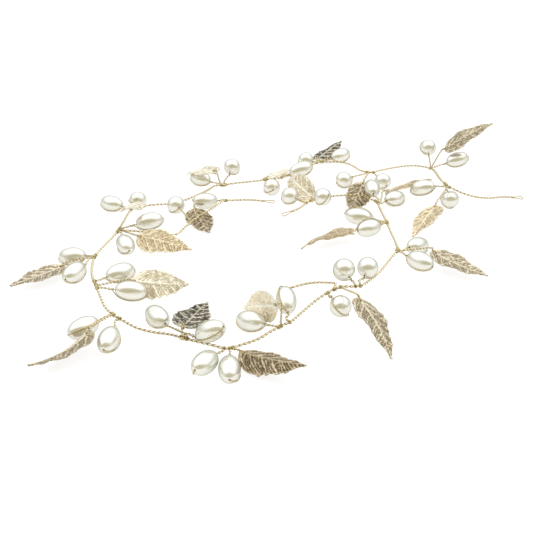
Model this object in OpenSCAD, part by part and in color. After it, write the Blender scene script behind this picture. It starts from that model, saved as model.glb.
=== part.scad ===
// Hair chain: a vine of twisted gold wire with sprigs of one leaf and two or three pearls, lying in a loose loop.
// Millimetres. The surface that it lies on is z = 0, X runs to the right, Y runs away from the viewer.

/* [Pearls] */
// Diameter of the round pearls
round_d = 8; // [7:0.1:8]
// Diameter of the long pearls
rice_d = 7.4; // [6.8:0.1:7.4]
// Length of the long pearls
rice_l = 12; // [11:0.1:12]
// Diameter of the bore through each pearl
bore_d = 1; // [0.9:0.05:1.2]

/* [Leaves] */
// Length of a leaf along its midrib
leaf_l = 27.5; // [26:0.5:28]
// Width of a leaf at its widest
leaf_w = 12.2; // [11:0.1:12.5]
// Thickness of the leaf metal
leaf_t = 0.45; // [0.4:0.05:0.5]
// Height of the embossed midrib
rib_h = 0.3; // [0.1:0.05:0.4]
// Height of the embossed side veins
vein_h = 0.15; // [0.05:0.05:0.2]

/* [Wire] */
// Diameter over the two twisted wires of a strand
strand_d = 1; // [0.9:0.05:1]
// Diameter over the two twisted wires of a stem
stem_d = 0.8; // [0.7:0.05:0.8]
// Diameter of a single wire
wire_d = 0.5; // [0.4:0.05:0.5]
// Clear gap between a wire and what it winds round
wind_gap = 0.3; // [0.3:0.05:0.4]

/* [End eyes] */
// Length of the narrow eye at the end of each strand
eye_l = 5; // [4:0.5:6]
// Distance between the two legs of an eye
eye_w = 1.8; // [1.4:0.1:2]

/* [Hidden] */
ROUND = 0;
RICE = 1;
UP = [0, 0, 1];

// Moves the whole layout, so that the middle of its outline stands over the origin
layout_shift = [-1, 2.5, 0];

pearl_color = [0.95, 0.92, 0.86];
wire_color = [0.86, 0.72, 0.48];
leaf_color = [0.80, 0.66, 0.50];

round_fn = 48;
rice_fn = 48;
rice_steps = 8;
strand_sides = 8;
wire_sides = 5;

// Route of the main strand's centreline, from the right-hand end eye to the middle one
main_route = [
    [107, 40, 3], [101, 38, 4], [94, 34, 5], [88, 31, 6.5], [83, 30, 8], [78, 32, 9.5],
    [74, 34, 11], [72.5, 48, 10], [73, 62, 8], [73, 73, 6],
    [73, 79, 4], [71, 81, 4], [66, 83, 4], [60, 82, 4], [54, 78, 4.5], [48, 72, 5.5],
    [42, 67, 6], [37, 70, 6], [34, 80, 5], [30, 88, 4], [23, 89, 4],
    [17, 88.5, 4], [12, 82, 4], [4, 71, 4], [-3, 65, 4],
    [-10, 62, 4], [-18, 59, 4], [-25, 57, 4],
    [-31, 54, 4], [-35, 53, 4], [-39, 47, 3.5], [-48, 37, 3], [-55, 32, 3], [-61, 29.5, 3.5], [-66, 28, 3.5],
    [-71, 24, 4], [-72, 19, 4], [-73, 12, 3.5], [-73.5, 3, 4],
    [-73.5, -4, 5], [-75, -12, 5], [-77, -22, 5.5],
    [-79, -34, 6], [-78.5, -42, 6.5], [-77.5, -50, 7], [-76, -57, 7.5],
    [-74, -63, 8], [-71.5, -70, 7.5], [-68, -79, 6.5],
    [-64, -84.5, 6], [-60, -88, 5.5], [-55, -92, 5], [-49, -95, 5], [-43, -97.5, 5.5],
    [-38, -101, 6], [-33, -103.5, 6], [-28, -105, 5.5],
    [-23, -106.5, 5], [-18, -104.5, 5.5], [-13, -101, 5.5], [-9, -97, 6],
    [-5, -92.5, 6], [-1, -89.5, 6.5], [3, -83.5, 7], [7.5, -77.5, 8], [12, -73, 9],
    [17, -70, 10], [22, -68.5, 9.5], [26, -65, 8.5], [32.5, -53, 7], [36, -46, 7], [39.5, -38, 7],
    [43, -30, 7], [43.5, -20, 6.5], [43, -9, 6],
    [42.5, 2, 6], [42, 12, 5.5], [41.5, 22, 5],
    [41, 29, 5], [38, 33.5, 5], [35, 38, 5], [29, 38, 5], [22, 39.5, 4], [16, 39, 3],
    [10.5, 36, 3], [5, 26, 3], [1, 23, 2.5]
];

// Route of the side strand, which winds off the main strand at sprig 14
side_route = [
    [-70, -5, 5], [-66, -5.5, 5], [-60, -6, 4.5], [-54, -7, 4], [-49, -7, 4], [-47, -2, 3.5],
    [-45, 2.5, 4], [-41, 12, 4], [-37, 21, 3.5], [-33, 28.5, 3.5], [-30, 35.5, 3], [-25, 39, 2],
    [-18, 39.5, 2], [-11, 38, 2]
];

// Route of the bare side tail, which winds off the main strand at sprig 7
tail_route = [[15.5, -66, 9.5], [12, -62, 8], [8, -59, 6.5], [4, -57.5, 5], [-1, -58.5, 4]];

// Columns of the knots table: one row a sprig, with the strand that carries it and the knot's place on that strand
KNOT_SIDE = 0;
KNOT_AT = 1;
knots = [
    [false, [74, 34, 11]], [false, [73, 79, 4]], [false, [42, 67, 6]], [false, [41, 29, 5]],
    [false, [42.5, 2, 6]], [false, [43, -30, 7]], [false, [17, -70, 10]], [false, [-5, -92.5, 6]],
    [false, [-23, -106.5, 5]], [false, [-38, -101, 6]], [false, [-64, -84.5, 6]], [false, [-74, -63, 8]],
    [false, [-79, -34, 6]], [false, [-73.5, -4, 5]], [false, [-71, 24, 4]], [true, [-41, 12, 4]],
    [false, [-31, 54, 4]], [false, [10.5, 36, 3]], [false, [17, 88.5, 4]], [false, [-10, 62, 4]]
];

// Columns of the pearls table: sprig, kind, place of its winding along the strand from the knot,
// the centre's x, y and z, and the angle about the bore at which the wire returns over the pearl's side
P_SPRIG = 0;
P_KIND = 1;
P_SLOT = 2;
P_X = 3;
P_LOOP = 6;
pearls = [
    [1, ROUND, 3.6, 75.4, 32.5, 5, -30],
    [1, RICE, 1.8, 63.6, 41, 7.5, -45],
    [2, ROUND, -1.2, 73, 88, 12, 0],
    [2, RICE, -3.6, 87, 81, 8, -45],
    [3, ROUND, -1.2, 47, 59.5, 4, -45],
    [3, ROUND, 2.4, 28, 61.5, 4, -45],
    [4, RICE, 1.6, 40, 43, 6.5, -40],
    [4, RICE, -1.2, 50, 36, 4, -40],
    [5, RICE, 1.2, 30.5, 7.5, 6.5, 110],
    [5, RICE, -1.2, 34, -4.5, 6, 110],
    [6, RICE, 1.2, 53, -19, 4, -40],
    [6, RICE, -1.2, 51, -39.5, 6.5, -45],
    [7, ROUND, 6.4, 19, -62, 13.5, -45],
    [7, ROUND, 8.8, 28, -59.5, 13, -45],
    [7, ROUND, -5.6, 17, -74.5, 4.5, 0],
    [8, RICE, -1.2, -15.5, -86, 4.5, -45],
    [8, RICE, 3.6, -3, -80.5, 10, 45],
    [9, RICE, -1.2, -30, -116.5, 5.5, -120],
    [9, RICE, 0.6, -22, -118, 4, -150],
    [10, RICE, -1.2, -48.5, -86.5, 6.5, -40],
    [10, RICE, 1.2, -28.7, -105.9, 11.4, -20],
    [11, RICE, -1.2, -74, -91, 4.5, 30],
    [11, RICE, 3, -64, -98.5, 4, -30],
    [12, RICE, -2.4, -66, -53.5, 8, -45],
    [12, RICE, 3.6, -60.5, -65, 6, -45],
    [13, RICE, -1.2, -89, -29.5, 4, -40],
    [13, RICE, 1.2, -85, -47, 5, -45],
    [14, RICE, -1.8, -61, 2, 6.5, -45],
    [14, RICE, 2.4, -69, -17.5, 4, -40],
    [15, RICE, 1.2, -81.5, 29.5, 4, -40],
    [15, ROUND, -1.2, -70, 34, 4, 180],
    [16, ROUND, -3, -51.7, 27.5, 4.2, -45],
    [16, RICE, 28, -38.4, 32, 4.4, 180],
    [17, RICE, 1.2, -42.5, 62.5, 4.5, -45],
    [17, ROUND, -1.2, -27, 64, 10, -45],
    [18, ROUND, 0, 16, 30.5, 7, -45],
    [18, ROUND, 3.6, 1, 39.5, 4, -45],
    [19, ROUND, 1.2, 10.5, 92, 4, -45],
    [19, RICE, -2.4, 29, 98, 4.5, -40],
    [20, ROUND, 0, -7.5, 51.5, 4, -30],
    [20, RICE, -8, 7, 68.5, 7, -40]
];

// Columns of the leaves table: place of its winding along the strand from the knot, the base's x, y and z,
// heading of the midrib, tilt of the midrib, roll about it, bend along it, the angle by which each side falls
// from it, and a point that its stem passes, if any
L_SLOT = 0;
L_X = 1;
L_HEADING = 4;
L_TILT = 5;
L_ROLL = 6;
L_BEND = 7;
L_FALL = 8;
L_VIA = 9;
leaves = [
    [-1.2, 67, 21.5, 6, -120, -11, 16, -6, 0, []],
    [-2.4, 81, 84, 12, -15, 35, 24, -22, 0, []],
    [1.2, 37, 53, 6.2, -108, -9, -9, 30, 10, []],
    [0.2, 46.5, 41.5, 5, 30, 3, -38, -24, 10, []],
    [0, 27.4, -4.7, 4, -148, -3, 42, -38, 0, [[33, 1.5, 7]]],
    [0, 57.5, -28, 5.5, -47, -3, 0, 15, -6, []],
    [0, 22, -84, 12.4, -66, -25, -23, -30, 0, []],
    [0, -6.3, -91.3, 13.8, 120, -27, 88, -6, 10, []],
    [1.8, -19, -108, 4.6, -38, 10, 17, 10, 28, []],
    [0, -38, -103.5, 11.5, 76, -9, 6, -2, 0, [[-38, -106.5, 9]]],
    [0, -70.5, -96.3, 6.1, -128, -2, 28, 30, 11, []],
    [1.2, -61.5, -56.5, 6, -31, 11, 47, 23, 11, []],
    [0, -91.5, -35.5, 2.4, -126, 4, 3, 5, -5, []],
    [1.2, -64.5, -12, 5.2, -30, 0, 29, -15, 6, []],
    [2.4, -68.5, 19.5, 8.8, -94, 15, 9, 10, 16, []],
    [3, -43.1, 26.8, 2.6, -73, -2, 1, 15, 5, []],
    [0, -34, 44, 14.1, 126, -18, -7, -28, 0, [[-32, 42, 10]]],
    [-2.4, 12.2, 40, 2.3, 113, 4, -48, -70, -11, []],
    [-1.2, 16.5, 96.5, 2.8, 58, 6, -3, 0, 14, []],
    [1.2, -10.3, 67, 2.3, 47, -2, -20, -32, 7, []]
];

sprigs = [1:20];
groups = [1:4];
sprigs_a_group = 5;

// Leaf stations from base to tip as fractions of its length; the hole lies between stations 1 and 2
stations = [0, 0.04, 0.1, 0.19, 0.29, 0.39, 0.49, 0.59, 0.69, 0.79, 0.9, 1];
hole_station = 1;
hole_half = 0.7;
hole_at = (stations[hole_station] + stations[hole_station + 1]) / 2;
columns = 5;
rib_column = 2;
tip_half = 0.11;
early = 0.6;
fullness = 0.8;
narrowing = 0.3;

// Places of a leaf's wire before and after the hole: distance along the midrib, and height over the leaf
hole_above = [[-3.2, 1.2], [-1.9, 1.1], [-0.3, 0.9]];
hole_below = [[-0.3, -0.7], [-2.6, -1]];

strand_r = strand_d / 2;
stem_r = stem_d / 2;
wire_r = wire_d / 2;
wind_r = strand_r + wire_r + wind_gap;
wind_from = -225;
wind_step = 60;
wind_to = -45;
wind_out = 2.2;

// End eye: where its two legs meet the strand, and the turn from one point of its round end to the next
eye_out = 1;
eye_back = 0.6;
eye_step = 45;

// Pearl wire: where the stem's twist ends and the bore's wire starts before the pearl, how far past the pearl it
// comes out and steps aside, its gap over the pearl's side, and where it ends beside the stem
stem_end = 1.2;
bore_start = 0.4;
past_pearl = 0.2;
step_aside = 0.4;
loop_gap = 0.35;
loop_from = 30;
loop_to = 150;
loop_step = 30;
loop_end = 2;
loop_end_side = 0.9;

function unit(v) = v / norm(v);
function square_to(v, axis) = unit(v - (v * axis) * axis);
function two(k) = k < 10 ? str("0", k) : str(k);
function center(row, first) = [row[first], row[first + 1], row[first + 2]];

// Directions along a path, and a side vector that is carried along it without twist
function headings(path) = [
    for (i = [0 : len(path) - 1])
        unit(unit(path[min(i + 1, len(path) - 1)] - path[max(i - 1, 0)]))
];
function carried(v, from, to) = let (axis = cross(from, to), c = from * to)
    v * c + cross(axis, v) + axis * (axis * v) / (1 + c);
function any_side(t) = square_to(abs(t.z) < 0.9 ? UP : [1, 0, 0], t);
function sides(dirs) = [
    for (i = 0, s = any_side(dirs[0]);
        i < len(dirs);
        s = i + 1 < len(dirs) ? carried(s, dirs[i], dirs[i + 1]) : s, i = i + 1)
        s
];

// A tube along a path with a radius at each point
module tube(path, radii, n) {
    dirs = headings(path);
    across = sides(dirs);
    points = [
        for (i = [0 : len(path) - 1]) for (k = [0 : n - 1])
            path[i] + radii[i] * (cos(360 * k / n) * across[i] + sin(360 * k / n) * cross(dirs[i], across[i]))
    ];
    last = (len(path) - 1) * n;
    faces = concat(
        [[for (k = [0 : n - 1]) k]],
        [[for (k = [n - 1 : -1 : 0]) last + k]],
        [for (i = [0 : n : last - n]) for (k = [0 : n - 1]) let (a = i + k, b = i + (k + 1) % n) [a, a + n, b]],
        [for (i = [0 : n : last - n]) for (k = [0 : n - 1]) let (a = i + k, b = i + (k + 1) % n) [b, a + n, b + n]]
    );
    polyhedron(points, faces);
}

// The narrow eye at a strand's end: out along one side, round, and back beside itself
function eye(end, before) = let (
    t = unit(end - before), s = unit(cross(UP, t)), half = eye_w / 2, far = eye_l - half - wire_r
) concat(
    [end + eye_out * t + half * s],
    [for (a = [90 : -eye_step : -90]) end + far * t + half * (cos(a) * t + sin(a) * s)],
    [end + eye_back * t - half * s]
);
eye_radii = [for (i = [1 : 7]) wire_r];

// Winding of one wire half-way round a strand at a place, before the branch leaves in a direction
function winding(at, t, leave) = let (n = cross(t, leave)) [
    for (a = [wind_from : wind_step : wind_to]) at + wind_r * (cos(a) * leave + sin(a) * n)
];

// Place on a sprig's strand, a distance along it from the knot, and the strand's direction there
function route_of(sprig) = knots[sprig - 1][KNOT_SIDE] ? side_route : main_route;
function lengths_of(route) = [
    for (i = 0, s = 0;
        i < len(route);
        s = s + (i + 1 < len(route) ? norm(route[i + 1] - route[i]) : 0), i = i + 1)
        s
];
function place(sprig, slot) = let (
    route = route_of(sprig), lengths = lengths_of(route), knot = knots[sprig - 1][KNOT_AT],
    target = [for (i = [0 : len(route) - 1]) if (norm(route[i] - knot) < 0.01) lengths[i]][0] + slot,
    i = max([for (k = [0 : len(route) - 2]) if (lengths[k] <= target) k]),
    t = unit(route[i + 1] - route[i])
) [route[i] + (target - lengths[i]) * t, t];

function half_length(kind) = kind == ROUND ? round_d / 2 : rice_l / 2;
function half_width(kind) = kind == ROUND ? round_d / 2 : rice_d / 2;

// Path of one pearl's wire: round the strand, out as the stem, through the bore and back over the pearl's side
function pearl_path(row) = let (
    spot = place(row[P_SPRIG], row[P_SLOT]), c = center(row, P_X),
    a = unit(c - spot[0]), leave = square_to(a, spot[1]),
    l = half_length(row[P_KIND]), w = half_width(row[P_KIND]),
    level = cross(a, UP), toward = unit(level.y > 0 ? -level : level), high = square_to(UP, a),
    b = cos(row[P_LOOP]) * toward + sin(row[P_LOOP]) * high,
    out = wire_r + loop_gap + past_pearl
) concat(
    winding(spot[0], spot[1], leave),
    [spot[0] + wind_out * leave, c - (l + stem_end) * a, c - (l + bore_start) * a, c + (l + past_pearl) * a],
    [c + (l + out) * a + step_aside * b],
    [
        for (g = [loop_from : loop_step : loop_to])
            c + (l + out) * cos(g) * a + (w + wire_r + loop_gap) * sin(g) * b
    ],
    [c - (l + loop_end) * a + loop_end_side * b]
);
pearl_radii = [for (i = [1 : 15]) i == 5 || i == 6 ? stem_r : wire_r];

// The leaf's own directions, its midrib and its surface
function leaf_dirs(row) = let (
    h = row[L_HEADING], t = row[L_TILT], r = row[L_ROLL],
    along = [cos(t) * cos(h), cos(t) * sin(h), sin(t)], level = [-sin(h), cos(h), 0], n = cross(along, level)
) [along, cos(r) * level + sin(r) * n, cos(r) * n - sin(r) * level];
function rib_at(bend, f) = bend == 0
    ? [leaf_l * f, 0]
    : let (k = leaf_l / (bend * PI / 180), a = bend * (f - 0.5), b = bend / 2)
        [k * (sin(a) + sin(b)), k * (cos(b) - cos(a))];
// Half the leaf's width at a fraction of its length: widest before the middle, and drawn out to the tip
function leaf_half(f) = leaf_w / 2 * max(
    pow(max(sin(180 * pow(f, early)), 0), fullness) * (1 - narrowing * pow(f, 3)),
    tip_half
);
function inner(i) = i == hole_station || i == hole_station + 1 ? hole_half : leaf_half(stations[i]) / 2;
function leaf_point(row, f, across, lift) = let (
    d = leaf_dirs(row), rib = rib_at(row[L_BEND], f), turn = row[L_BEND] * (f - 0.5),
    up = lift - abs(across) * sin(row[L_FALL]), side = across * cos(row[L_FALL])
) center(row, L_X) + (rib[0] - up * sin(turn)) * d[0] + side * d[1] + (rib[1] + up * cos(turn)) * d[2];
function emboss(i, c) = i == 0 || i == len(stations) - 1 ? 0
    : c == rib_column ? rib_h
    : i <= hole_station + 1 ? 0
    : i % 2 == 0 ? vein_h : -vein_h;
function leaf_cell(i, c) = i * columns + c;
function is_hole(i, c) = i == hole_station && (c == rib_column - 1 || c == rib_column);

// Path of one leaf's wire: round the strand, out as the stem, down through the hole and back under the leaf
function leaf_path(sprig) = let (
    row = leaves[sprig - 1], spot = place(sprig, row[L_SLOT]), d = leaf_dirs(row),
    rib = rib_at(row[L_BEND], hole_at), hole = center(row, L_X) + rib[0] * d[0] + rib[1] * d[2],
    turn = row[L_BEND] * (hole_at - 0.5), along = cos(turn) * d[0] + sin(turn) * d[2],
    over = cos(turn) * d[2] - sin(turn) * d[0],
    next = len(row[L_VIA]) > 0 ? row[L_VIA][0] : hole,
    leave = square_to(next - spot[0], spot[1])
) concat(
    winding(spot[0], spot[1], leave),
    [spot[0] + wind_out * leave],
    row[L_VIA],
    [for (p = hole_above) hole + p[0] * along + p[1] * over],
    [hole],
    [for (p = hole_below) hole + p[0] * along + p[1] * over]
);
function leaf_radii(sprig) = let (via = len(leaves[sprig - 1][L_VIA]))
    [for (i = [1 : 11 + via]) i >= 5 && i <= 6 + via ? stem_r : wire_r];

module main_strand() {
    last = len(main_route) - 1;
    first_eye = eye(main_route[0], main_route[1]);
    path = concat(
        [for (i = [6 : -1 : 0]) first_eye[i]],
        main_route,
        eye(main_route[last], main_route[last - 1])
    );
    translate(layout_shift)
        color(wire_color)
            tube(path, concat(eye_radii, [for (p = main_route) strand_r], eye_radii), strand_sides);
}

// A strand that winds off the main one at a sprig
module off_strand(sprig, slot, route) {
    spot = place(sprig, slot);
    leave = square_to(route[0] - spot[0], spot[1]);
    last = len(route) - 1;
    wind = winding(spot[0], spot[1], leave);
    path = concat(wind, route, eye(route[last], route[last - 1]));
    translate(layout_shift)
        color(wire_color)
            tube(path, concat([for (p = wind) wire_r], [for (p = route) strand_r], eye_radii), strand_sides);
}

module side_strand() {
    off_strand(14, 0, side_route);
}

module side_tail() {
    off_strand(7, -2.4, tail_route);
}

module branch_wires(group) {
    first = sprigs_a_group * (group - 1) + 1;
    translate(layout_shift)
        color(wire_color) {
            for (row = pearls)
                if (row[P_SPRIG] >= first && row[P_SPRIG] < first + sprigs_a_group)
                    tube(pearl_path(row), pearl_radii, wire_sides);
            for (sprig = [first : first + sprigs_a_group - 1])
                tube(leaf_path(sprig), leaf_radii(sprig), wire_sides);
        }
}

// A thin closed shell: the same net of points above and below, with the hole left out and its walls added
module leaf(sprig) {
    row = leaves[sprig - 1];
    n = len(stations) * columns;
    points = [
        for (level = [1, -1]) for (i = [0 : len(stations) - 1]) for (c = [0 : columns - 1])
            let (w = leaf_half(stations[i]), x = [-w, -inner(i), 0, inner(i), w][c])
                leaf_point(row, stations[i], x, emboss(i, c) + level * leaf_t / 2)
    ];
    cells = [
        for (i = [0 : len(stations) - 2]) for (c = [0 : columns - 2])
            if (!is_hole(i, c)) [leaf_cell(i, c), leaf_cell(i + 1, c), leaf_cell(i + 1, c + 1), leaf_cell(i, c + 1)]
    ];
    rim = concat(
        [for (c = [0 : columns - 2]) [leaf_cell(0, c), leaf_cell(0, c + 1)]],
        [for (i = [0 : len(stations) - 2]) [leaf_cell(i, columns - 1), leaf_cell(i + 1, columns - 1)]],
        [for (c = [columns - 1 : -1 : 1]) [leaf_cell(len(stations) - 1, c), leaf_cell(len(stations) - 1, c - 1)]],
        [for (i = [len(stations) - 1 : -1 : 1]) [leaf_cell(i, 0), leaf_cell(i - 1, 0)]]
    );
    h = hole_station;
    r = rib_column;
    bore = [
        [leaf_cell(h, r), leaf_cell(h, r - 1)],
        [leaf_cell(h, r + 1), leaf_cell(h, r)],
        [leaf_cell(h + 1, r + 1), leaf_cell(h, r + 1)],
        [leaf_cell(h + 1, r), leaf_cell(h + 1, r + 1)],
        [leaf_cell(h + 1, r - 1), leaf_cell(h + 1, r)],
        [leaf_cell(h, r - 1), leaf_cell(h + 1, r - 1)]
    ];
    faces = concat(
        [for (q = cells) [q[0], q[2], q[1]]],
        [for (q = cells) [q[0], q[3], q[2]]],
        [for (q = cells) [q[0] + n, q[1] + n, q[2] + n]],
        [for (q = cells) [q[0] + n, q[2] + n, q[3] + n]],
        [for (e = concat(rim, bore)) [e[0], e[0] + n, e[1] + n]],
        [for (e = concat(rim, bore)) [e[0], e[1] + n, e[1]]]
    );
    translate(layout_shift)
        color(leaf_color) polyhedron(points, faces);
}

// One drilled pearl on its stem's line
module pearl(row) {
    c = center(row, P_X);
    a = unit(c - place(row[P_SPRIG], row[P_SLOT])[0]);
    translate(layout_shift + c)
        rotate([0, acos(a.z), atan2(a.y, a.x)])
            color(pearl_color)
                if (row[P_KIND] == ROUND) round_pearl();
                else rice_pearl();
}

module round_pearl() {
    difference() {
        sphere(d = round_d, $fn = round_fn);
        cylinder(d = bore_d, h = round_d + 1, center = true, $fn = round_fn);
    }
}

module rice_pearl() {
    bore_r = bore_d / 2;
    mouth = acos(bore_r / (rice_d / 2));
    profile = [
        for (k = [-rice_steps : rice_steps])
            let (g = mouth * k / rice_steps) [rice_d / 2 * cos(g), rice_l / 2 * sin(g)]
    ];
    rotate_extrude($fn = rice_fn) polygon(profile);
}

module pearls_of(sprig) {
    for (row = pearls)
        if (row[P_SPRIG] == sprig) pearl(row);
}

main_strand();
side_strand();
side_tail();
for (group = groups)
    branch_wires(group);
for (sprig = sprigs)
    leaf(sprig);
for (sprig = sprigs)
    pearls_of(sprig);
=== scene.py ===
"""Looks of a hair chain: twisted gold wire, drilled pearls on looped stems and embossed leaves.

The tables repeat the places of the CAD source in millimetres: X to the right, Y away from the viewer, Z up.
"""

import logging
from dataclasses import dataclass, field
from enum import Enum
from functools import cached_property

import bpy
import numpy as np
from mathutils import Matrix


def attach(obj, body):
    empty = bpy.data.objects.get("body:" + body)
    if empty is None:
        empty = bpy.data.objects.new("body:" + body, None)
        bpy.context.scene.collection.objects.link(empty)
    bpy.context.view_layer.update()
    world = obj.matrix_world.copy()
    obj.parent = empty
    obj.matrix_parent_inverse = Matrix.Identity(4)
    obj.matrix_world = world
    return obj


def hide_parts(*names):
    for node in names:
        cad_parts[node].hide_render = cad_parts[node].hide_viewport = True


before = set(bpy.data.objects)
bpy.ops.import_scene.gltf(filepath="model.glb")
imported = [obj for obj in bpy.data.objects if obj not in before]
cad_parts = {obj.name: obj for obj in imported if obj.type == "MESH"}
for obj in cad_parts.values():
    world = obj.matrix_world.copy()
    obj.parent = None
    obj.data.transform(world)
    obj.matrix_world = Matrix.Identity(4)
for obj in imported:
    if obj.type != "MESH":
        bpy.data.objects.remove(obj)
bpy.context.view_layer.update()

LOG = logging.getLogger("hair_chain")
Array = np.ndarray
Material = bpy.types.Material
Thing = bpy.types.Object
Socket = bpy.types.NodeSocket

MM = 0.001
SHIFT = np.array([-1.0, 2.5, 0.0])
UP = np.array([0.0, 0.0, 1.0])
WHITE = (1.0, 1.0, 1.0)
BLACK = (0.0, 0.0, 0.0)
SPAN_STEPS = 24
MOTTLE_CELLS = 64
LEAF_LENGTH = 27.5
TINY = 1e-6

MAIN_ROUTE = np.array([
    (107, 40, 3), (101, 38, 4), (94, 34, 5), (88, 31, 6.5), (83, 30, 8), (78, 32, 9.5),
    (74, 34, 11), (72.5, 48, 10), (73, 62, 8), (73, 73, 6),
    (73, 79, 4), (71, 81, 4), (66, 83, 4), (60, 82, 4), (54, 78, 4.5), (48, 72, 5.5),
    (42, 67, 6), (37, 70, 6), (34, 80, 5), (30, 88, 4), (23, 89, 4),
    (17, 88.5, 4), (12, 82, 4), (4, 71, 4), (-3, 65, 4),
    (-10, 62, 4), (-18, 59, 4), (-25, 57, 4),
    (-31, 54, 4), (-35, 53, 4), (-39, 47, 3.5), (-48, 37, 3), (-55, 32, 3), (-61, 29.5, 3.5), (-66, 28, 3.5),
    (-71, 24, 4), (-72, 19, 4), (-73, 12, 3.5), (-73.5, 3, 4),
    (-73.5, -4, 5), (-75, -12, 5), (-77, -22, 5.5),
    (-79, -34, 6), (-78.5, -42, 6.5), (-77.5, -50, 7), (-76, -57, 7.5),
    (-74, -63, 8), (-71.5, -70, 7.5), (-68, -79, 6.5),
    (-64, -84.5, 6), (-60, -88, 5.5), (-55, -92, 5), (-49, -95, 5), (-43, -97.5, 5.5),
    (-38, -101, 6), (-33, -103.5, 6), (-28, -105, 5.5),
    (-23, -106.5, 5), (-18, -104.5, 5.5), (-13, -101, 5.5), (-9, -97, 6),
    (-5, -92.5, 6), (-1, -89.5, 6.5), (3, -83.5, 7), (7.5, -77.5, 8), (12, -73, 9),
    (17, -70, 10), (22, -68.5, 9.5), (26, -65, 8.5), (32.5, -53, 7), (36, -46, 7), (39.5, -38, 7),
    (43, -30, 7), (43.5, -20, 6.5), (43, -9, 6),
    (42.5, 2, 6), (42, 12, 5.5), (41.5, 22, 5),
    (41, 29, 5), (38, 33.5, 5), (35, 38, 5), (29, 38, 5), (22, 39.5, 4), (16, 39, 3),
    (10.5, 36, 3), (5, 26, 3), (1, 23, 2.5),
])
SIDE_ROUTE = np.array([
    (-70, -5, 5), (-66, -5.5, 5), (-60, -6, 4.5), (-54, -7, 4), (-49, -7, 4), (-47, -2, 3.5),
    (-45, 2.5, 4), (-41, 12, 4), (-37, 21, 3.5), (-33, 28.5, 3.5), (-30, 35.5, 3), (-25, 39, 2),
    (-18, 39.5, 2), (-11, 38, 2),
])
TAIL_ROUTE = np.array([(15.5, -66, 9.5), (12, -62, 8), (8, -59, 6.5), (4, -57.5, 5), (-1, -58.5, 4)])


class Strand(Enum):
    """The strand that carries a sprig."""

    MAIN = 0
    SIDE = 1


class Pearl(Enum):
    """The two kinds of pearl: length and diameter in millimetres, and the power that shapes the profile."""

    ROUND = (8.0, 8.0, 1.0)
    RICE = (12.0, 7.4, 0.94)


class LitTone(Enum):
    """Painted light and shade: lighter and darker copies of the one leaf finish, picked for each leaf by how
    light falls on it.
    """

    CREAM = "cream"
    PALE = "pale"
    TAN = "tan"
    GOLD = "gold"
    BRONZE = "bronze"
    DARK = "dark"


# Strand and knot of each sprig
KNOTS = (
    (Strand.MAIN, (74, 34, 11)), (Strand.MAIN, (73, 79, 4)), (Strand.MAIN, (42, 67, 6)),
    (Strand.MAIN, (41, 29, 5)), (Strand.MAIN, (42.5, 2, 6)), (Strand.MAIN, (43, -30, 7)),
    (Strand.MAIN, (17, -70, 10)), (Strand.MAIN, (-5, -92.5, 6)), (Strand.MAIN, (-23, -106.5, 5)),
    (Strand.MAIN, (-38, -101, 6)), (Strand.MAIN, (-64, -84.5, 6)), (Strand.MAIN, (-74, -63, 8)),
    (Strand.MAIN, (-79, -34, 6)), (Strand.MAIN, (-73.5, -4, 5)), (Strand.MAIN, (-71, 24, 4)),
    (Strand.SIDE, (-41, 12, 4)), (Strand.MAIN, (-31, 54, 4)), (Strand.MAIN, (10.5, 36, 3)),
    (Strand.MAIN, (17, 88.5, 4)), (Strand.MAIN, (-10, 62, 4)),
)

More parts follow.
